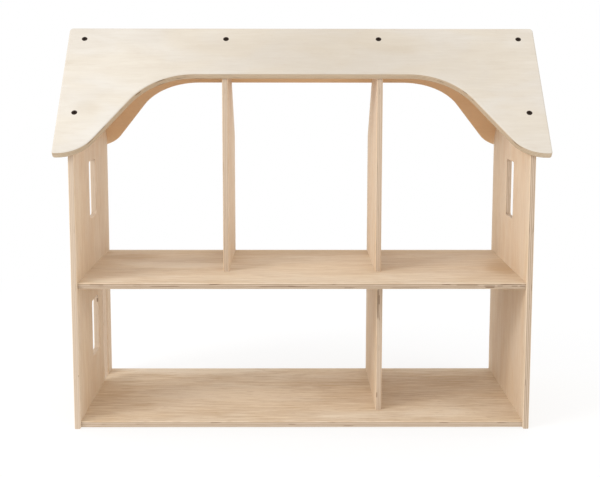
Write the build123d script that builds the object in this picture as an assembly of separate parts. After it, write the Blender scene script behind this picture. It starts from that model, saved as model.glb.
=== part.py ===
"""Wooden dollhouse of 9 mm and 12 mm plywood, open at the front and at the back.

Two gabled side walls carry a lower and an upper floor. One partition divides the lower
storey and two partitions divide the upper storey and the attic. Two roof panels meet at
the ridge, and each has a wide arch with flared legs cut into it. Black countersunk
screws hold the boards together.

X runs from the left wall to the right wall, Y from the open front to the open back and
Z up. The origin is on the ground, under the middle of the roof.
"""
from build123d import *
import math
import os

# Boards
PLY = 9.0                       # thickness of the walls, the floors and the partitions
ROOF_PLY = 12.0                 # thickness of the roof panels
EASE = 1.8                      # rounding of the free board edges
ROOF_EASE = 2.5                 # the same, for the roof panels
HOUSE_WIDTH = 680.0             # over the outsides of the side walls
HOUSE_DEPTH = 330.0             # side walls, from front edge to back edge

# Floors
FLOOR_SETBACK = 4.0             # of the floors' long edges from the walls' edges
LOWER_FLOOR_BOTTOM = 1.5        # clear of the ground, so the house stands on its walls
UPPER_FLOOR_BOTTOM = 212.0

# Partitions: the middle of the board, and its front edge from the middle of the house
UPPER_LEFT_X = -117.0
UPPER_RIGHT_X = 119.0
LOWER_X = 119.0
UPPER_FRONT_Y = -60.0
LOWER_FRONT_Y = -100.0
PARTITION_BACK_Y = 163.0

# Roof
RIDGE_HEIGHT = 595.8            # where the outsides of the two panels would meet
ROOF_SLOPE = 45.0               # degrees
ROOF_WIDTH = 721.0
ROOF_LENGTH = 256.0             # of each panel, down the slope
RIDGE_CORNER_RADIUS = 6.0
EAVES_CORNER_RADIUS = 3.5

# Arch in each roof panel
ARCH_TOP = 99.0                 # level middle, down the slope from the panel's top edge
FRONT_ARCH_HALF_WIDTH = 162.0   # of the level middle
BACK_ARCH_HALF_WIDTH = 164.5
SHOULDER_RADIUS = 111.0
LEG_RADIUS = 58.0
ARCH_SLANT = 58.1               # degrees between the arch's straight flank and the eaves

# Openings in the side walls
WINDOW_WIDTH = 65.5
WINDOW_HEIGHT = 89.5
WINDOW_FRONT_Y = -32.0          # the windows' near side from the middle of the house
UPPER_WINDOW_SILL = 299.5
LOWER_WINDOW_SILL = 78.5
DOOR_FRONT_Y = 79.0
DOOR_WIDTH = 43.0
DOOR_HEIGHT = 172.0
OPENING_CORNER_RADIUS = 5.0
OPENING_EASE = 1.2

# Screws and dowels
SCREW_HEAD_RADIUS = 4.4
SCREW_HEAD_RIM = 0.4
SCREW_HEAD_DEPTH = 3.0
SCREW_SHANK_RADIUS = 1.75
SCREW_TIP_RADIUS = 0.3
SCREW_TIP_LENGTH = 4.0
SCREW_LENGTH = 30.0
RECESS_WIDTH = 1.0
RECESS_SPAN = 4.8
RECESS_DEPTH = 1.6
DOWEL_RADIUS = 2.5
DOWEL_LENGTH = 20.0
DOWEL_IN_FLOOR = 5.0

# Rows of fasteners
ROOF_UPPER_ROW = 24.5           # down the slope from a roof panel's top edge
ROOF_LOWER_ROW = 178.0
FLOOR_SCREW_YS = (-125.0, 0.0, 125.0)
UPPER_PARTITION_SCREW_YS = (-30.0, 52.0, 134.0)
LOWER_PARTITION_SCREW_YS = (-70.0, 32.0, 134.0)
DOWEL_YS = (-80.0, 10.0, 95.0)

TOUCH = 0.1                     # how near counts as on a line

# Worked out from the above
HALF_WIDTH = HOUSE_WIDTH / 2
HALF_DEPTH = HOUSE_DEPTH / 2
WALL_MIDDLE_X = HALF_WIDTH - PLY / 2
INSIDE_X = HALF_WIDTH - PLY
FLOOR_HALF_DEPTH = HALF_DEPTH - FLOOR_SETBACK
LOWER_FLOOR_TOP = LOWER_FLOOR_BOTTOM + PLY
UPPER_FLOOR_TOP = UPPER_FLOOR_BOTTOM + PLY
SIN = math.sin(math.radians(ROOF_SLOPE))
COS = math.cos(math.radians(ROOF_SLOPE))
GABLE_PEAK = RIDGE_HEIGHT - ROOF_PLY / COS
EAVES_HEIGHT = GABLE_PEAK - HALF_DEPTH * SIN / COS

# The back panel starts one board lower than the front one, which covers its top edge.
# The origin is under the middle of the two eaves.
TO_ORIGIN = Location((0, -ROOF_PLY * COS / 2, 0))


# ---------------------------------------------------------------- screws and dowels

def screw_envelope():
    """The space that a screw fills: head up to Z = 0, shank down along -Z."""
    profile = Polyline(
        (0, 0),
        (SCREW_HEAD_RADIUS, 0),
        (SCREW_HEAD_RADIUS, -SCREW_HEAD_RIM),
        (SCREW_SHANK_RADIUS, -SCREW_HEAD_DEPTH),
        (SCREW_SHANK_RADIUS, SCREW_TIP_LENGTH - SCREW_LENGTH),
        (SCREW_TIP_RADIUS, -SCREW_LENGTH),
        (0, -SCREW_LENGTH),
        close=True,
    )
    return revolve(Plane.XZ * make_face(profile), Axis.Z)


def screw():
    """A countersunk screw with a cross recess."""
    slot = Box(RECESS_SPAN, RECESS_WIDTH, 2 * RECESS_DEPTH)
    return screw_envelope() - slot - Rot(0, 0, 90) * slot


def dowel():
    """A plain wooden dowel, from Z = 0 down."""
    return Cylinder(DOWEL_RADIUS, DOWEL_LENGTH, align=(Align.CENTER, Align.CENTER, Align.MAX))


def at_places(solid, places):
    """One copy of the solid at each place."""
    return [place * solid for place in places]


def drilled(board, *groups):
    """The board with a hole for each fastener in the groups of places."""
    for solid, places in groups:
        for place in places:
            board -= place * solid
    return board


def wall_screw_places(side, floor_bottom):
    """Screws through a side wall into the end of a floor; side is -1 or 1."""
    height = floor_bottom + PLY / 2
    return [
        Plane((side * HALF_WIDTH, y, height), x_dir=(0, 1, 0), z_dir=(side, 0, 0)).location
        for y in FLOOR_SCREW_YS
    ]


def under_floor_places(x, ys, floor_bottom):
    """Screws up through a floor into the bottom edge of a partition."""
    return [Plane((x, y, floor_bottom), x_dir=(1, 0, 0), z_dir=(0, 0, -1)).location for y in ys]


def roof_screw_places(slope_plane, top_offset, xs, rows):
    """Screws square to a roof panel, at distances down the slope from its top edge."""
    return [slope_plane * Pos(x, -(top_offset + row), 0) for x in xs for row in rows]


# ---------------------------------------------------------------- boards

def rounded_opening(front, width, sill, height):
    """Outline of a window or a door in a side wall, on the YZ plane."""
    outline = RectangleRounded(width, height, OPENING_CORNER_RADIUS)
    return Pos(front + width / 2, sill + height / 2) * outline


def outline_edges(board, axis, keep_sharp):
    """Edges of the board's faces square to the axis, but for the ones to keep sharp."""
    edges = [edge for face in board.faces().filter_by(axis) for edge in face.edges()]
    return [edge for edge in edges if not keep_sharp(edge)]


def side_wall(side, openings):
    """A gabled side wall; side is -1 for the left one and 1 for the right one."""
    outline = make_face(Polyline(
        (-HALF_DEPTH, 0),
        (HALF_DEPTH, 0),
        (HALF_DEPTH, EAVES_HEIGHT),
        (0, GABLE_PEAK),
        (-HALF_DEPTH, EAVES_HEIGHT),
        close=True,
    ))
    middle = Plane.YZ.offset(side * WALL_MIDDLE_X)
    wall = extrude(middle * outline, PLY / 2, both=True)
    wall = fillet(outline_edges(wall, Axis.X, lambda edge: edge.center().Z > EAVES_HEIGHT), EASE)
    for opening in openings:
        wall -= extrude(middle * opening, PLY, both=True)
    faces = wall.faces().filter_by(Axis.X)
    rims = [edge for face in faces for wire in face.inner_wires() for edge in wire.edges()]
    return fillet(rims, OPENING_EASE)


def floor_board(bottom):
    """A floor between the side walls, its long edges eased."""
    floor = Pos(0, 0, bottom) * Box(
        2 * INSIDE_X, 2 * FLOOR_HALF_DEPTH, PLY, align=(Align.CENTER, Align.CENTER, Align.MIN)
    )
    return fillet(floor.edges().filter_by(Axis.X), EASE)


def lower_partition_board():
    """The partition between the two floors."""
    depth = PARTITION_BACK_Y - LOWER_FRONT_Y
    board = Pos(LOWER_X, LOWER_FRONT_Y + depth / 2, LOWER_FLOOR_TOP) * Box(
        PLY, depth, UPPER_FLOOR_BOTTOM - LOWER_FLOOR_TOP, align=(Align.CENTER, Align.CENTER, Align.MIN)
    )
    return fillet(board.edges().filter_by(Axis.Z), EASE)


def upper_partition_board(x):
    """A partition from the upper floor up to the underside of both roof panels."""
    outline = make_face(Polyline(
        (UPPER_FRONT_Y, UPPER_FLOOR_TOP),
        (PARTITION_BACK_Y, UPPER_FLOOR_TOP),
        (PARTITION_BACK_Y, GABLE_PEAK - PARTITION_BACK_Y * SIN / COS),
        (0, GABLE_PEAK),
        (UPPER_FRONT_Y, GABLE_PEAK + UPPER_FRONT_Y * SIN / COS),
        close=True,
    ))
    board = extrude(Plane.YZ.offset(x) * outline, PLY / 2, both=True)
    return fillet(board.edges().filter_by(Axis.Z), EASE)


def roof_outline(top, arch_half_width):
    """A roof panel seen square on: X across and -Y down the slope from the ridge.

    The arch is level in the middle. On each side a round shoulder leads into a straight
    flank, and a round of the other hand leads from the flank into the level leg.
    """
    arch_top = top + ARCH_TOP
    bottom = top + ROOF_LENGTH
    half = ROOF_WIDTH / 2
    slant = math.radians(ARCH_SLANT)
    sin, cos = math.sin(slant), math.cos(slant)
    half_sin, half_cos = math.sin(slant / 2), math.cos(slant / 2)
    shoulder_middle = (
        arch_half_width + SHOULDER_RADIUS * half_sin,
        arch_top + SHOULDER_RADIUS * (1 - half_cos),
    )
    shoulder_end = (arch_half_width + SHOULDER_RADIUS * sin, arch_top + SHOULDER_RADIUS * (1 - cos))
    leg_start_y = bottom - LEG_RADIUS * (1 - cos)
    leg_start = (shoulder_end[0] + (leg_start_y - shoulder_end[1]) * cos / sin, leg_start_y)
    leg_end_x = leg_start[0] + LEG_RADIUS * sin
    leg_middle = (leg_end_x - LEG_RADIUS * half_sin, bottom - LEG_RADIUS * (1 - half_cos))
    lines = [
        Line((-arch_half_width, -arch_top), (arch_half_width, -arch_top)),
        Line((-half, -top), (half, -top)),
    ]
    for side in (-1, 1):
        arch_end, middle, shoulder, leg, curl, foot, corner, ridge_corner = [
            (side * x, -y)
            for x, y in (
                (arch_half_width, arch_top), shoulder_middle, shoulder_end, leg_start,
                leg_middle, (leg_end_x, bottom), (half, bottom), (half, top),
            )
        ]
        lines += [
            ThreePointArc(arch_end, middle, shoulder),
            Line(shoulder, leg),
            ThreePointArc(leg, curl, foot),
            Line(foot, corner),
            Line(corner, ridge_corner),
        ]
    return make_face(lines)


def corners_rounded(panel, y, radius):
    """The flat roof panel with its two outer corners at y rounded."""
    corners = [
        edge for edge in panel.edges().filter_by(Axis.Z)
        if abs(edge.center().X) > ROOF_WIDTH / 2 - TOUCH and abs(edge.center().Y - y) < TOUCH
    ]
    return fillet(corners, radius)


def roof_panel(slope_plane, top, arch_half_width):
    """A roof panel under its slope plane, whose local +Z is the outside of the roof."""
    panel = extrude(roof_outline(top, arch_half_width), -ROOF_PLY)
    panel = corners_rounded(panel, -top, RIDGE_CORNER_RADIUS)
    panel = corners_rounded(panel, -top - ROOF_LENGTH, EAVES_CORNER_RADIUS)
    ridge_side = -top - RIDGE_CORNER_RADIUS
    rims = outline_edges(panel, Axis.Z, lambda edge: edge.center().Y > ridge_side)
    return slope_plane * fillet(rims, ROOF_EASE)


# ---------------------------------------------------------------- the house

FRONT_SLOPE = Plane((0, 0, RIDGE_HEIGHT), x_dir=(1, 0, 0), z_dir=(0, -SIN, COS))
BACK_SLOPE = Plane((0, 0, RIDGE_HEIGHT), x_dir=(-1, 0, 0), z_dir=(0, SIN, COS))
WALL_XS = (-WALL_MIDDLE_X, WALL_MIDDLE_X)
UPPER_PARTITION_XS = (UPPER_LEFT_X, UPPER_RIGHT_X)
ROOF_ROWS = (ROOF_UPPER_ROW, ROOF_LOWER_ROW)


def fastener_places():
    """Where each group of fasteners sits, by node name."""
    lower, upper = LOWER_FLOOR_BOTTOM, UPPER_FLOOR_BOTTOM
    back_xs = [-x for x in UPPER_PARTITION_XS]
    return {
        "front_roof_wall_screws": roof_screw_places(FRONT_SLOPE, 0, WALL_XS, ROOF_ROWS),
        "front_roof_partition_screws": roof_screw_places(
            FRONT_SLOPE, 0, UPPER_PARTITION_XS, ROOF_ROWS[:1]),
        "back_roof_wall_screws": roof_screw_places(BACK_SLOPE, ROOF_PLY, WALL_XS, ROOF_ROWS),
        "back_roof_partition_screws": roof_screw_places(
            BACK_SLOPE, ROOF_PLY, back_xs, ROOF_ROWS[:1]),
        "left_wall_lower_floor_screws": wall_screw_places(-1, lower),
        "left_wall_upper_floor_screws": wall_screw_places(-1, upper),
        "right_wall_lower_floor_screws": wall_screw_places(1, lower),
        "right_wall_upper_floor_screws": wall_screw_places(1, upper),
        "lower_partition_screws": under_floor_places(LOWER_X, LOWER_PARTITION_SCREW_YS, lower),
        "upper_left_partition_screws": under_floor_places(
            UPPER_LEFT_X, UPPER_PARTITION_SCREW_YS, upper),
        "upper_right_partition_screws": under_floor_places(
            UPPER_RIGHT_X, UPPER_PARTITION_SCREW_YS, upper),
        "lower_partition_dowels": [Pos(LOWER_X, y, upper + DOWEL_IN_FLOOR) for y in DOWEL_YS],
    }


def boards():
    """Every board by node name, not yet drilled."""
    upper_window = rounded_opening(WINDOW_FRONT_Y, WINDOW_WIDTH, UPPER_WINDOW_SILL, WINDOW_HEIGHT)
    lower_window = rounded_opening(WINDOW_FRONT_Y, WINDOW_WIDTH, LOWER_WINDOW_SILL, WINDOW_HEIGHT)
    door = rounded_opening(DOOR_FRONT_Y, DOOR_WIDTH, LOWER_FLOOR_TOP, DOOR_HEIGHT)
    return {
        "left_side_wall": side_wall(-1, [upper_window, lower_window, door]),
        "right_side_wall": side_wall(1, [upper_window]),
        "lower_floor": floor_board(LOWER_FLOOR_BOTTOM),
        "upper_floor": floor_board(UPPER_FLOOR_BOTTOM),
        "lower_partition": lower_partition_board(),
        "upper_left_partition": upper_partition_board(UPPER_LEFT_X),
        "upper_right_partition": upper_partition_board(UPPER_RIGHT_X),
        "front_roof_panel": roof_panel(FRONT_SLOPE, 0, FRONT_ARCH_HALF_WIDTH),
        "back_roof_panel": roof_panel(BACK_SLOPE, ROOF_PLY, BACK_ARCH_HALF_WIDTH),
    }


def is_dowels(name):
    return name.endswith("dowels")


def build():
    """Every node of the house by name, as a list of solids."""
    places = fastener_places()
    holes = [
        (dowel() if is_dowels(name) else screw_envelope(), group)
        for name, group in places.items()
    ]
    nodes = {name: [drilled(board, *holes)] for name, board in boards().items()}
    for name, group in places.items():
        nodes[name] = at_places(dowel() if is_dowels(name) else screw(), group)
    return nodes


os.makedirs("parts", exist_ok=True)
for node_name, solids in build().items():
    node = Compound([part for solid in solids for part in solid.solids()])
    export_step(TO_ORIGIN * node, f"parts/{node_name}.step")
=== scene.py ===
"""Wooden dollhouse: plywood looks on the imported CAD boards, and a white studio around them.

Metres throughout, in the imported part's own frame: X to the right, +Y to the back, Z up.
The wood shaders work in millimetres, measured along and across the grain and through the
thickness of each board, so that the faces, the eased edges and the cut plies all come
from one solid pattern.
"""
import bpy
import math
from mathutils import Matrix, Vector


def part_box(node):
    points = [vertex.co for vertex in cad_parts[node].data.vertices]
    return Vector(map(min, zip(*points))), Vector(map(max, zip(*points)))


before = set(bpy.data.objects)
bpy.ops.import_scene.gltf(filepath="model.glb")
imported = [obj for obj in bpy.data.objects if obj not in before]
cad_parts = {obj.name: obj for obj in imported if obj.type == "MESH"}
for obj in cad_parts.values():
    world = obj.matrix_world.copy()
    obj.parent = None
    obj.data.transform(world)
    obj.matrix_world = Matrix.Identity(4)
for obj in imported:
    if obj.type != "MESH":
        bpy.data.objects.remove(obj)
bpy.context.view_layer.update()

MM = 1000.0                     # in a metre

# Thickness in mm and number of plies, of the walls, floors and partitions, and of the roof
WALL_BUILD_UP = (9.0, 7)
ROOF_BUILD_UP = (12.0, 9)

# Linear colours: the light and the dark tone of each kind of face and of the cut plies
WALL_FACE = ((0.755, 0.630, 0.490), (0.665, 0.505, 0.350))
FLOOR_FACE = ((0.775, 0.660, 0.520), (0.560, 0.410, 0.262))
# The roof's outside is paler and greyer than the other boards: painted sheen.
ROOF_FACE_PAINTED_SHEEN = ((0.700, 0.660, 0.600), (0.545, 0.485, 0.410))
# The roof's inside is darker and warmer: painted shade with warm light bounced off the wood.
ROOF_INSIDE_PAINTED_SHADE = ((0.800, 0.585, 0.382), (0.715, 0.487, 0.298))
WALL_PLY = ((0.602, 0.480, 0.366), (0.361, 0.256, 0.171))
ROOF_PLY = ((0.755, 0.640, 0.492), (0.440, 0.325, 0.208))
GLUE_LINE = (0.27, 0.18, 0.11)
VOID = (0.15, 0.085, 0.045)
PORE = (0.42, 0.27, 0.16)
WARM_TINT = (1.0, 0.93, 0.80)
SCREW_BLACK = ((0.017, 0.009, 0.005), (0.040, 0.024, 0.014))
DOWEL_WOOD = ((0.62, 0.44, 0.28), (0.70, 0.52, 0.34))
WHITE = (1.0, 1.0, 1.0, 1.0)

# Roughness and specular level
WOOD_FINISH = (0.70, 0.12)
DOWEL_FINISH = (0.6, 0.3)
METAL_FINISH = (0.55, 0.25)
METAL_METALLIC = 0.35

# Fine specks on the screws and the dowels: noise scale in 1/m, and its range from dark to light
METAL_SPECKS_SCALE, METAL_SPECKS_RANGE = 900.0, (0.4, 0.7)
DOWEL_SPECKS_SCALE = 300.0

# Noise in the outer veneers: scale along and across the grain in 1/mm, an offset that sets it
# apart from the others, detail, roughness and wander
FIGURE = (0.011, 0.042, 0.0, 4.0, 0.66, 0.5)
CLOUDS = (0.007, 0.013, 5.1, 3.0, 0.55, 0.8)
RINGS = (0.018, 0.20, 7.3, 4.0, 0.66, 0.5)
FINE_LINES = (0.03, 1.15, 3.1, 3.0, 0.60, 0.0)
DASHES = (0.040, 0.17, 23.1, 2.0, 0.55, 0.3)
PORES = (0.16, 3.2, 11.7, 1.0, 0.50, 0.0)
TINTS = (0.008, 0.016, 17.9, 2.0, 0.5, 0.5)

# A tone of 0 is the light colour and 1 the dark one
FIGURE_SHARE, CLOUD_SHARE = 0.6, 0.4
RINGS_SHARE, FINE_LINES_SHARE = 0.70, 0.40
TONE_RANGE = (0.25, 0.75)
PATCH_EDGE = (0.2, 1.1)         # of its half size: full inside the first, gone past the second
PATCH_RAGGED = 0.8              # how far the figure shifts that edge in and out

# Marks drawn where a noise passes from one value to another, and their strength
DARK_DASHES = (0.60, 0.70, 0.22)
PALE_DASHES = (0.40, 0.30, 0.25)
PORE_MARKS = (0.66, 0.76, 0.30)
WARM_PLACES = (0.35, 0.65, 0.30)

# Relief: height of the fine lines, depth of the pores, strength, and distance in metres
FINE_LINES_HEIGHT, PORE_DEPTH = 0.5, 0.8
BUMP_STRENGTH, BUMP_DISTANCE = 0.12, 0.0004

# Noise in the cut plies: scale in and through the board in 1/mm, detail and roughness
FIBRES = (0.05, 1.1, 3.0, 0.6)
GAPS = (0.035, 0.45, 0.0, 0.5)
PLY_WAVE_SCALE, PLY_WAVE = 24.0, 0.8            # 1/m, and mm from crest to trough

# The cut plies: beat is 0 in the middle of one ply and 1 in the middle of the next
NEXT_PLY = (0.38, 0.62)
END_GRAIN_STRENGTH = 0.85
FIBRE_MARKS = (0.35, 0.75, 0.35)
GLUE_HALF_WIDTH, GLUE_STRENGTH = (0.02, 0.10), 0.45             # in plies
GAP_MARKS = (0.71, 0.75, 1.0)
GAP_END_GRAIN = (0.35, 0.6, 1.0)                # gaps show only in end grain
GAP_STRENGTH = 0.65
CRACK_STRENGTH = 0.80
CRACK_CORE, CRACK_BODY = 0.4, 0.75      # shares of its half width and half length, before it fades
CRACK_PLACE_EDGE = 2.0                  # mm over which it fades across the grain

# Dot product with the board's normal: from the inside of the roof, painted shade, to its outside,
# painted sheen, and from an edge to a face
ROOF_OUTSIDE = (-0.3, 0.3)
FACE_NOT_EDGE = (0.30, 0.75)

# The outer veneer on a cut edge: half the blur to the next ply in mm, and how far it looks like
# the face
VENEER_EDGE, VENEER_STRENGTH = 0.15, 0.5

FRONT = (-190, -95)             # where the front edges lie across the grain, in millimetres

# What single boards show, in millimetres along and across the grain and through the thickness.
# Soft patches, wood blotches and on the floors also painted shade and painted light: their middle,
# half sizes, and how much darker they are, or paler if negative.
# cracks are dark gaps in the cut plies: from, to, depth, half width, and where across the grain.
MARKS = {
    "left_side_wall": {
        "cracks": (
            (154, 161, 2.6, 1.9, (24, 36)), (80, 83, 3.5, 1.0, FRONT),
        ),
    },
    "upper_floor": {
        "blotches_and_painted_shading": (
            (-161, -115, 150, 34, -0.04), (-190, -5, 110, 40, -0.30),
            (-275, 80, 60, 45, 0.22), (20, -120, 130, 36, -0.05),
            # (322, -30) paints shade by the right wall, and (0, 130) paints shade along the back,
            # under the roof.
            (322, -30, 40, 90, 0.26), (0, 130, 420, 50, 0.20),
            (180, -105, 90, 40, -0.08), (-290, -130, 60, 30, -0.12),
        ),
        "cracks": (
            (-314, -292, 1.9, 0.6, FRONT), (-226, -179, -0.4, 0.6, FRONT),
            (-67, 14, -0.5, 0.6, FRONT), (130, 176, -2.4, 0.5, FRONT),
            (226, 262, 1.8, 0.7, FRONT), (268, 286, 0.2, 1.0, FRONT),
            (270, 285, -1.9, 0.9, FRONT), (288, 297, 0.2, 0.9, FRONT),
            (300, 326, 2.6, 0.6, FRONT), (309, 319, 0.2, 1.0, FRONT),
            (321, 330, 0.1, 1.0, FRONT),
        ),
    },
    "lower_floor": {
        "blotches_and_painted_shading": (
            # (-180, 140) paints a pool of light along the back of the lower floor's left room.
            (-294, -5, 40, 70, 0.06), (-180, 140, 170, 30, -0.25),
            (60, 60, 110, 30, 0.10), (74, -132, 70, 30, -0.15),
            # (240, 80) paints the lower partition's shadow at the back of the right room.
            (240, 80, 100, 60, 0.12), (213, -116, 80, 40, -0.20),
            (-120, -10, 160, 80, -0.14),
        ),
    },
    "lower_partition": {
        "cracks": (
            (152, 203, -2.6, 1.4, FRONT), (176, 192, -0.6, 0.8, FRONT),
            (30, 39, -3.2, 1.4, FRONT),
        ),
    },
    "front_roof_panel": {
        "blotches_and_painted_shading": (
            (-310, -260, 150, 170, -0.09), (50, -360, 230, 100, 0.17),
            (270, -340, 90, 90, 0.06), (-319, -250, 26, 22, 0.10),
            (143, -372, 50, 14, 0.06), (-150, -380, 60, 26, 0.05),
        ),
    },
}

X_AXIS, Y_AXIS, Z_AXIS = Vector((1, 0, 0)), Vector((0, 1, 0)), Vector((0, 0, 1))
UPRIGHT = (Z_AXIS, Y_AXIS, X_AXIS)          # grain, across and normal of a standing board
LEVEL = (X_AXIS, Y_AXIS, Z_AXIS)

# Name, axes, noise seed, and the strengths of the tones, the grain and the cut plies
WALLS = (
    # The left wall's low ply strength paints light on its cut edges and the right wall's high one
    # paints shade on its cut edges, as the key softbox stands on the left.
    ("left_side_wall", UPRIGHT, 1.0, (0.9, 0.8, 0.3)),
    ("right_side_wall", UPRIGHT, 5.0, (0.9, 0.8, 0.9)),
    ("lower_partition", UPRIGHT, 21.0, (0.9, 0.8, 0.5)),
    ("upper_left_partition", UPRIGHT, 26.0, (0.9, 0.8, 0.5)),
    ("upper_right_partition", UPRIGHT, 31.0, (0.9, 0.8, 0.6)),
)
FLOORS = (
    ("lower_floor", LEVEL, 9.0, (0.26, 1.25, 0.9)),
    ("upper_floor", LEVEL, 14.0, (0.24, 0.9, 1.3)),
)
ROOF_STRENGTHS = (0.30, 0.25, 1.15)
ROOF_PANELS = (("front_roof_panel", -1, 37.0), ("back_roof_panel", 1, 43.0))

# Studio, in metres: the floor glows more and more with the distance from the house
FLOOR_RADIUS = 30.0
FLOOR_COLOUR = (0.93, 0.93, 0.93, 1.0)
FLOOR_GLOW = (0.3, 1.3, 0.74, 1.0)      # two distances, and the share of glow at each
SURROUNDINGS_STRENGTH = 1.02
SOFTBOXES = (                   # name, place, target, size, watts
    ("key_softbox", (-2.3, -1.9, 2.0), (0, 0, 0.3), (1.4, 1.2), 45),
    ("fill_softbox", (2.3, -1.9, 1.5), (0, 0, 0.3), (1.2, 1.2), 7),
    ("back_softbox", (0.0, 2.4, 0.6), (0, 0, 0.2), (2.4, 1.0), 8),
)

CAMERA_SENSOR = 36.0            # mm
CAMERA_LENS = 74.41
CAMERA_PLACE = (-0.01495, -1.96546, 0.55117)
CAMERA_PITCH = 8.3275           # degrees down
CAMERA_YAW = 0.3755             # degrees to the right
CAMERA_ROLL = -0.0633           # degrees clockwise


# ---------------------------------------------------------------- node helpers

class Graph:
    """A material's node tree, with one short method for each kind of node."""

    def __init__(self, name):
        self.material = bpy.data.materials.new(name)
        self.material.use_nodes = True
        self.tree = self.material.node_tree
        self.tree.nodes.clear()
        self.output = self.node("OutputMaterial")

    def node(self, kind):
        return self.tree.nodes.new("ShaderNode" + kind)

    def put(self, socket, value):
        """Links a socket's value in, or sets a plain one."""
        if isinstance(value, bpy.types.NodeSocket):
            self.tree.links.new(value, socket)
        else:
            socket.default_value = value

    def math(self, operation, *values):
        node = self.node("Math")
        node.operation = operation
        for socket, value in zip(node.inputs, values):
            self.put(socket, value)
        return node.outputs[0]

    def dot(self, vector, axis):
        node = self.node("VectorMath")
        node.operation = "DOT_PRODUCT"
        self.put(node.inputs[0], vector)
        node.inputs[1].default_value = axis
        return node.outputs["Value"]

    def combine(self, x, y, z):
        node = self.node("CombineXYZ")
        for socket, value in zip(node.inputs, (x, y, z)):
            self.put(socket, value)
        return node.outputs[0]

    def noise(self, vector, scale, detail, roughness=0.5, distortion=0.0):
        node = self.node("TexNoise")
        self.put(node.inputs["Vector"], vector)
        node.inputs["Scale"].default_value = scale
        node.inputs["Detail"].default_value = detail
        node.inputs["Roughness"].default_value = roughness
        node.inputs["Distortion"].default_value = distortion
        return node.outputs[0]

    def smooth(self, value, low, high, to_low=0.0, to_high=1.0):
        """Turns low..high smoothly into to_low..to_high."""
        node = self.node("MapRange")
        node.interpolation_type = "SMOOTHSTEP"
        for name, number in (
            ("Value", value), ("From Min", low), ("From Max", high),
            ("To Min", to_low), ("To Max", to_high),
        ):
            self.put(node.inputs[name], number)
        return node.outputs[0]

    def mark(self, value, turn, strength=1.0):
        """How strongly a mark shows: not at all from turn's first value, fully past its second."""
        none, full, own_strength = turn
        return self.smooth(value, none, full, 0.0, own_strength * strength)

    def mix(self, factor, first, second, blend="MIX"):
        node = self.node("Mix")
        node.data_type = "RGBA"
        node.blend_type = blend
        self.put(node.inputs[0], factor)
        for socket, colour in ((node.inputs[6], first), (node.inputs[7], second)):
            if isinstance(colour, tuple):
                colour = (*colour, 1.0)
            self.put(socket, colour)
        return node.outputs[2]

    def principled(self, colour, roughness, specular, metallic=0.0, normal=None):
        node = self.node("BsdfPrincipled")
        self.put(node.inputs["Base Color"], colour)
        node.inputs["Roughness"].default_value = roughness
        node.inputs["Specular IOR Level"].default_value = specular
        node.inputs["Metallic"].default_value = metallic
        if normal is not None:
            self.put(node.inputs["Normal"], normal)
        self.put(self.output.inputs["Surface"], node.outputs[0])

    def bump(self, height, strength, distance):
        node = self.node("Bump")
        self.put(node.inputs["Height"], height)
        node.inputs["Strength"].default_value = strength
        node.inputs["Distance"].default_value = distance
        return node.outputs[0]


# ---------------------------------------------------------------- plywood

class Board:
    """Shader values of one plywood board: where a point lies in it, and which way it faces.

    grain, across and normal are the board's own unit axes in the part's frame, and middle
    is a point, in metres, half-way through its thickness. Distances are in millimetres.
    """

    def __init__(self, graph, grain, across, normal, middle, thickness, plies, seed):
        self.graph, self.seed = graph, seed
        self.thickness, self.ply = thickness, thickness / plies
        coordinates = graph.node("TexCoord")
        place, surface = coordinates.outputs["Object"], coordinates.outputs["Normal"]
        self.along = graph.math("MULTIPLY", graph.dot(place, grain), MM)
        self.side = graph.math("MULTIPLY", graph.dot(place, across), MM)
        through = graph.math("MULTIPLY", graph.dot(place, normal), MM)
        flat = graph.math("SUBTRACT", through, MM * Vector(middle).dot(normal))
        wave = graph.noise(place, PLY_WAVE_SCALE, 2.0)
        self.depth = graph.math(
            "ADD", flat, graph.math("MULTIPLY_ADD", wave, PLY_WAVE, -PLY_WAVE / 2))
        self.faces_out = graph.dot(surface, normal)
        self.faces_across = graph.math("ABSOLUTE", graph.dot(surface, across))
        self.faces_along = graph.math("ABSOLUTE", graph.dot(surface, grain))

    def streaks(self, along_scale, side_scale, offset, detail, roughness, wander):
        """Noise stretched along the grain, for the faces."""
        g = self.graph
        place = g.combine(
            g.math("MULTIPLY", self.along, along_scale),
            g.math("MULTIPLY", self.side, side_scale), self.seed + offset)
        return g.noise(place, 1.0, detail, roughness, wander)

    def flecks(self, flat_scale, depth_scale, detail, roughness):
        """Noise stretched along the plies, for the cut edges."""
        g = self.graph
        place = g.combine(
            g.math("MULTIPLY", self.along, flat_scale),
            g.math("MULTIPLY", self.side, flat_scale),
            g.math("MULTIPLY", self.depth, depth_scale))
        return g.noise(place, 1.0, detail, roughness)


def ellipse(board, along, side, reach, span):
    """Distance from a point of the board, 1 at reach along the grain and at span across it."""
    g = board.graph
    far_along = g.math("DIVIDE", g.math("SUBTRACT", board.along, along), reach)
    far_across = g.math("DIVIDE", g.math("SUBTRACT", board.side, side), span)
    square = g.math("MULTIPLY", far_across, far_across)
    return g.math("SQRT", g.math("MULTIPLY_ADD", far_along, far_along, square))


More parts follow.
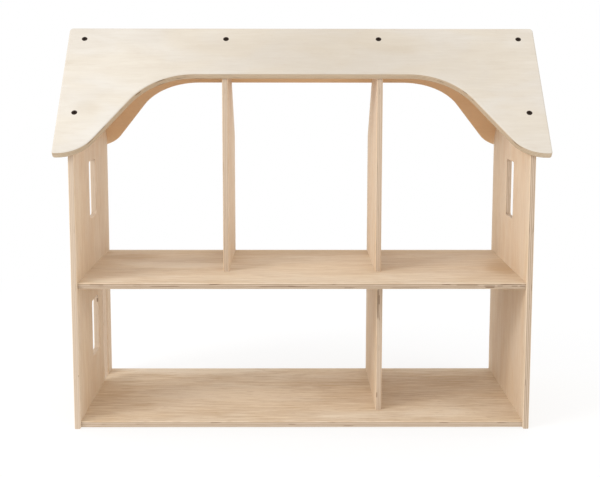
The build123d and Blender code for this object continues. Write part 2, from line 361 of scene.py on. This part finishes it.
def face_grain(board, light, dark, variation, strength, blotches_and_painted_shading):
    """Colour and relief of the outer veneers: streaks along the grain over soft clouds."""
    g = board.graph
    figure, clouds = board.streaks(*FIGURE), board.streaks(*CLOUDS)
    rings, fine_lines = board.streaks(*RINGS), board.streaks(*FINE_LINES)
    dashes, tints = board.streaks(*DASHES), board.streaks(*TINTS)
    pores = g.mark(board.streaks(*PORES), PORE_MARKS, strength)

    tone = g.math("MULTIPLY_ADD", figure, FIGURE_SHARE, g.math("MULTIPLY", clouds, CLOUD_SHARE))
    tone = g.math("MULTIPLY_ADD", tone, variation, 0.5 - 0.5 * variation)
    # Soft patches: wood blotches, and on the floors also painted shade and painted light.
    for along, side, reach, span, darker in blotches_and_painted_shading:
        off = ellipse(board, along, side, reach, span)
        wobble = g.math("MULTIPLY_ADD", figure, PATCH_RAGGED, -PATCH_RAGGED / 2)
        patch = g.smooth(g.math("ADD", off, wobble), *PATCH_EDGE, darker, 0.0)
        tone = g.math("ADD", tone, patch)
    for noise, share in ((rings, RINGS_SHARE), (fine_lines, FINE_LINES_SHARE)):
        swing = g.math("MULTIPLY", g.math("SUBTRACT", noise, 0.5), share * strength)
        tone = g.math("ADD", tone, swing)

    colour = g.mix(g.smooth(tone, *TONE_RANGE), light, dark)
    colour = g.mix(g.mark(dashes, DARK_DASHES, strength), colour, PORE)
    colour = g.mix(g.mark(dashes, PALE_DASHES, strength), colour, light)
    colour = g.mix(pores, colour, PORE)
    colour = g.mix(g.mark(tints, WARM_PLACES), colour, WARM_TINT, "MULTIPLY")
    relief = g.math(
        "SUBTRACT",
        g.math("MULTIPLY", fine_lines, FINE_LINES_HEIGHT), g.math("MULTIPLY", pores, PORE_DEPTH))
    return colour, relief


def cut_plies(board, light, dark, contrast, cracks):
    """Colour of the plies on a cut edge, with glue lines, small gaps and the board's own cracks."""
    g = board.graph

    def off_centre(value, centre):
        return g.math("ABSOLUTE", g.math("SUBTRACT", value, centre))

    layer = g.math("DIVIDE", g.math("ADD", board.depth, board.thickness / 2), board.ply)
    beat = g.math("PINGPONG", g.math("SUBTRACT", layer, 0.5), 1.0)
    crossed = g.smooth(beat, *NEXT_PLY)
    end_grain = g.math(
        "ADD",
        g.math("MULTIPLY", crossed, board.faces_across),
        g.math("MULTIPLY", g.math("SUBTRACT", 1.0, crossed), board.faces_along))
    glue = g.smooth(off_centre(beat, 0.5), *GLUE_HALF_WIDTH, GLUE_STRENGTH, 0.0)
    gaps = g.math(
        "MULTIPLY",
        g.mark(board.flecks(*GAPS), GAP_MARKS), g.mark(end_grain, GAP_END_GRAIN))

    colour = g.mix(g.math("MULTIPLY", end_grain, END_GRAIN_STRENGTH * contrast), light, dark)
    colour = g.mix(g.mark(board.flecks(*FIBRES), FIBRE_MARKS, contrast), colour, dark)
    colour = g.mix(g.math("MULTIPLY", glue, contrast), colour, GLUE_LINE)
    colour = g.mix(g.math("MULTIPLY", gaps, GAP_STRENGTH * contrast), colour, VOID)
    for start, end, depth, half_width, (near, far) in cracks:
        half_length, half_place = (end - start) / 2, (far - near) / 2
        off_end = off_centre(board.along, (start + end) / 2)
        off_depth = off_centre(board.depth, depth)
        off_place = off_centre(board.side, (near + far) / 2)
        crack = g.math(
            "MULTIPLY",
            g.smooth(off_end, half_length * CRACK_BODY, half_length, 1.0, 0.0),
            g.smooth(off_depth, half_width * CRACK_CORE, half_width, CRACK_STRENGTH, 0.0))
        here = g.smooth(off_place, half_place - CRACK_PLACE_EDGE, half_place, 1.0, 0.0)
        colour = g.mix(g.math("MULTIPLY", crack, here), colour, VOID)
    return colour


def plywood(name, axes, middle, build_up, colours, seed, strengths, blotches_and_painted_shading=(), cracks=()):
    """A plywood material.

    colours are the tones of its outside, its inside and its cut plies, on the roof painted sheen
    outside and painted shade inside. strengths are those of the tones, the grain and the cut plies.
    """
    g = Graph(name)
    outside, inside, cut = colours
    variation, grain_strength, ply_contrast = strengths
    board = Board(g, *axes, middle, *build_up, seed)
    light, dark = outside
    # On the roof the inside tones are painted shade and the outside tones painted sheen.
    if inside != outside:
        out = g.smooth(board.faces_out, *ROOF_OUTSIDE)
        light, dark = g.mix(out, inside[0], light), g.mix(out, inside[1], dark)
    face, relief = face_grain(board, light, dark, variation, grain_strength, blotches_and_painted_shading)
    plies = cut_plies(board, *cut, ply_contrast, cracks)

    # A face shows its outer veneer only; the eased corners cut through it
    veneer_depth = board.thickness / 2 - board.ply
    veneer = g.smooth(
        g.math("ABSOLUTE", board.depth), veneer_depth - VENEER_EDGE, veneer_depth + VENEER_EDGE)
    facing = g.smooth(g.math("ABSOLUTE", board.faces_out), *FACE_NOT_EDGE)
    shown = g.math("MAXIMUM", facing, g.math("MULTIPLY", veneer, VENEER_STRENGTH))
    bump = g.bump(relief, BUMP_STRENGTH, BUMP_DISTANCE)
    g.principled(g.mix(shown, plies, face), *WOOD_FINISH, normal=bump)
    return g.material


def black_metal():
    g = Graph("black_screws")
    specks = g.noise(g.node("TexCoord").outputs["Object"], METAL_SPECKS_SCALE, 2.0)
    colour = g.mix(g.smooth(specks, *METAL_SPECKS_RANGE), *SCREW_BLACK)
    g.principled(colour, *METAL_FINISH, METAL_METALLIC)
    return g.material


def dowel_wood():
    g = Graph("dowels")
    specks = g.noise(g.node("TexCoord").outputs["Object"], DOWEL_SPECKS_SCALE, 3.0)
    g.principled(g.mix(specks, *DOWEL_WOOD), *DOWEL_FINISH)
    return g.material


# ---------------------------------------------------------------- painting the nodes

def paint(node_name, material):
    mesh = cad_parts[node_name].data
    mesh.materials.clear()
    mesh.materials.append(material)


def middle_of(node_name):
    low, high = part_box(node_name)
    return (Vector(low) + Vector(high)) / 2


def roof_middle(node_name, outward):
    """A point in the middle of a roof panel's thickness."""
    distances = [vertex.co.dot(outward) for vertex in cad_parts[node_name].data.vertices]
    return outward * (min(distances) + max(distances)) / 2


def paint_boards():
    for rows, tones in ((WALLS, WALL_FACE), (FLOORS, FLOOR_FACE)):
        for name, axes, seed, strengths in rows:
            paint(name, plywood(
                name, axes, middle_of(name), WALL_BUILD_UP, (tones, tones, WALL_PLY),
                seed, strengths, **MARKS.get(name, {})))
    for name, side, seed in ROOF_PANELS:
        outward = Vector((0, side, 1)).normalized()
        down_slope = Vector((0, side, -1)).normalized()
        paint(name, plywood(
            name, (X_AXIS, down_slope, outward), roof_middle(name, outward), ROOF_BUILD_UP,
            (ROOF_FACE_PAINTED_SHEEN, ROOF_INSIDE_PAINTED_SHADE, ROOF_PLY), seed, ROOF_STRENGTHS, **MARKS.get(name, {})))


def paint_fasteners():
    metal = black_metal()
    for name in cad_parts:
        if name.endswith("_screws"):
            paint(name, metal)
    paint("lower_partition_dowels", dowel_wood())


# ---------------------------------------------------------------- studio

def studio_floor():
    """A pale floor that fades into the white surroundings far from the house."""
    bpy.ops.mesh.primitive_circle_add(
        vertices=96, radius=FLOOR_RADIUS, fill_type="NGON", location=(0, 0, 0))
    floor = bpy.context.object
    floor.name = "studio_floor"
    g = Graph("studio_floor")
    distance = g.node("VectorMath")
    distance.operation = "LENGTH"
    g.put(distance.inputs[0], g.node("TexCoord").outputs["Object"])
    diffuse, glow = g.node("BsdfDiffuse"), g.node("Emission")
    diffuse.inputs["Color"].default_value = FLOOR_COLOUR
    glow.inputs["Color"].default_value = WHITE
    glow.inputs["Strength"].default_value = 1.0
    blend = g.node("MixShader")
    g.put(blend.inputs[0], g.smooth(distance.outputs["Value"], *FLOOR_GLOW))
    g.put(blend.inputs[1], diffuse.outputs[0])
    g.put(blend.inputs[2], glow.outputs[0])
    g.put(g.output.inputs["Surface"], blend.outputs[0])
    floor.data.materials.append(g.material)


def white_surroundings():
    """White all round: pure for the camera, SURROUNDINGS_STRENGTH bright for what it lights."""
    world = bpy.data.worlds.new("white_studio")
    world.use_nodes = True
    nodes, links = world.node_tree.nodes, world.node_tree.links
    nodes.clear()
    blend = nodes.new("ShaderNodeMixShader")
    for socket, strength in ((blend.inputs[1], SURROUNDINGS_STRENGTH), (blend.inputs[2], 1.0)):
        background = nodes.new("ShaderNodeBackground")
        background.inputs["Color"].default_value = WHITE
        background.inputs["Strength"].default_value = strength
        links.new(background.outputs[0], socket)
    path = nodes.new("ShaderNodeLightPath")
    output = nodes.new("ShaderNodeOutputWorld")
    links.new(path.outputs["Is Camera Ray"], blend.inputs[0])
    links.new(blend.outputs[0], output.inputs["Surface"])
    bpy.context.scene.world = world


def softbox(name, place, target, size, power):
    light = bpy.data.lights.new(name, "AREA")
    light.shape = "RECTANGLE"
    light.size, light.size_y = size
    light.energy = power
    lamp = bpy.data.objects.new(name, light)
    lamp.location = place
    lamp.rotation_euler = (Vector(target) - Vector(place)).to_track_quat("-Z", "Y").to_euler()
    bpy.context.collection.objects.link(lamp)


def studio_camera():
    camera = bpy.data.cameras.new("camera")
    camera.sensor_width = CAMERA_SENSOR
    camera.lens = CAMERA_LENS
    holder = bpy.data.objects.new("camera", camera)
    turn = Matrix.Rotation(-math.radians(CAMERA_YAW), 4, "Z")
    tilt = Matrix.Rotation(math.radians(90.0 - CAMERA_PITCH), 4, "X")
    roll = Matrix.Rotation(-math.radians(CAMERA_ROLL), 4, "Z")
    holder.matrix_world = Matrix.Translation(CAMERA_PLACE) @ turn @ tilt @ roll
    bpy.context.collection.objects.link(holder)
    bpy.context.scene.camera = holder


paint_boards()
paint_fasteners()
studio_floor()
white_surroundings()
for softbox_row in SOFTBOXES:
    softbox(*softbox_row)
studio_camera()
bpy.context.scene.view_settings.view_transform = "Standard"
